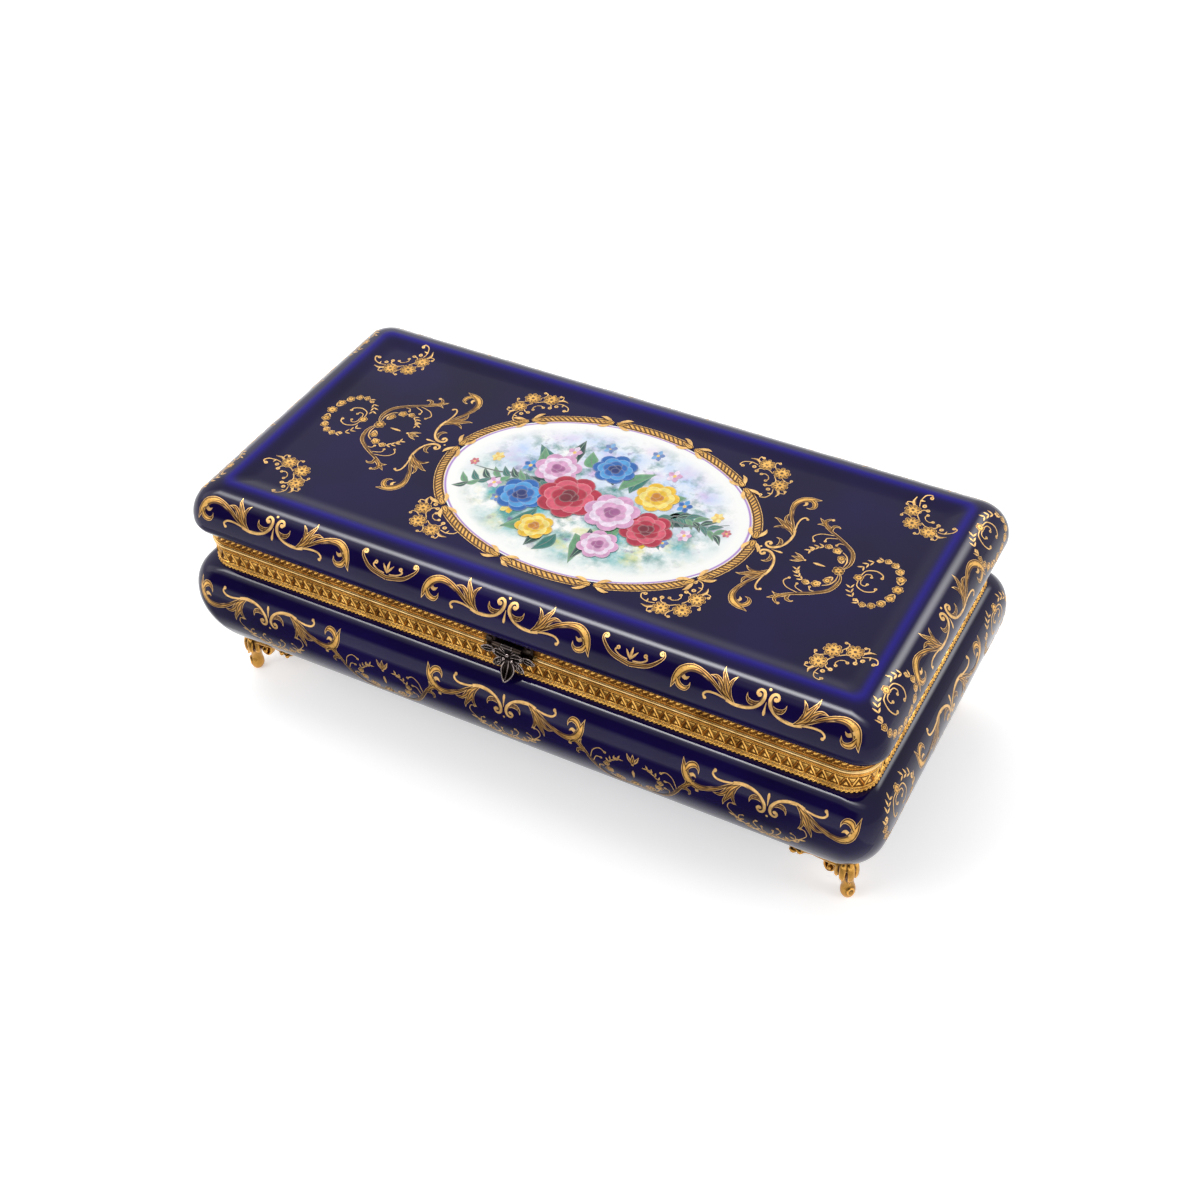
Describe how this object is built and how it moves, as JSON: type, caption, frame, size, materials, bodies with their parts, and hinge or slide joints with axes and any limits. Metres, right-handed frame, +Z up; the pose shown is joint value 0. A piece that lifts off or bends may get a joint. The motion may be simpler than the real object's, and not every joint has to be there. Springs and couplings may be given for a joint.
{
  "type": "porcelain casket",
  "caption": "Long glazed porcelain casket with a hinged lid, gilt metal rim mounts, a front clasp and cast corner feet, for papers and keepsakes.",
  "frame": {"origin": "on the table, under the middle of the casket", "axes": "+X to the right along the front, +Y to the hinged back, +Z up"},
  "size_m": [0.3292, 0.1656, 0.1127],
  "materials": {
    "cobalt_porcelain": "very glossy cobalt glaze with raised gilt ornament",
    "stamped_gilt_brass": "stamped, gilt, darkened in the hollows",
    "bright_gilt_brass": "polished gilt",
    "cast_gilt_brass": "cast, gilt, rubbed on the high spots",
    "hinge_brass": "satin, lacquered",
    "dark_bronze": "oxidised, rubbed bright on the edges",
    "screw_brass": "turned, slightly dulled",
    "bedding_plaster": "matt plaster",
    "washer_leather": "soft, undyed",
    "ornament_gilding": "raised paste gilding fired on the glaze, with fine brown drawing",
    "medallion_enamel": "white enamel ground with soft overglaze colours",
    "white_glaze": "clear glaze over white porcelain, inside the casket"
  },
  "bodies": {
    "base": {"base_shell": "cobalt_porcelain", "base_rim_mount": "stamped_gilt_brass", "base_rim_edging": "stamped_gilt_brass", "base_bedding": "bedding_plaster", "foot_front_left": "cast_gilt_brass", "foot_front_right": "cast_gilt_brass", "foot_back_left": "cast_gilt_brass", "foot_back_right": "cast_gilt_brass", "foot_screws": "screw_brass", "foot_washers": "washer_leather", "hinge_left_base_leaf": "hinge_brass", "hinge_right_base_leaf": "hinge_brass", "hinge_left_pin": "hinge_brass", "hinge_right_pin": "hinge_brass", "hinge_base_rivets": "hinge_brass", "clasp_catch": "dark_bronze"},
    "lid": {"lid_shell": "cobalt_porcelain", "lid_rim_mount": "stamped_gilt_brass", "lid_rim_bead": "bright_gilt_brass", "lid_bedding": "bedding_plaster", "hinge_left_lid_leaf": "hinge_brass", "hinge_right_lid_leaf": "hinge_brass", "hinge_lid_rivets": "hinge_brass", "clasp_plate": "dark_bronze", "clasp_rivets": "dark_bronze", "clasp_pin": "dark_bronze"},
    "hasp": {"clasp_hasp": "dark_bronze"}
  },
  "joints": [
    {"name": "lid_hinge", "type": "hinge", "parent": "base", "child": "lid", "pos_m": [0, 0.0762, 0.08205], "axis": [-1, 0, 0], "range_deg": [0, 95]},
    {"name": "hasp_hinge", "type": "hinge", "parent": "lid", "child": "hasp", "pos_m": [0, -0.0764, 0.0872], "axis": [-1, 0, 0], "range_deg": [0, 80]}
  ]
}
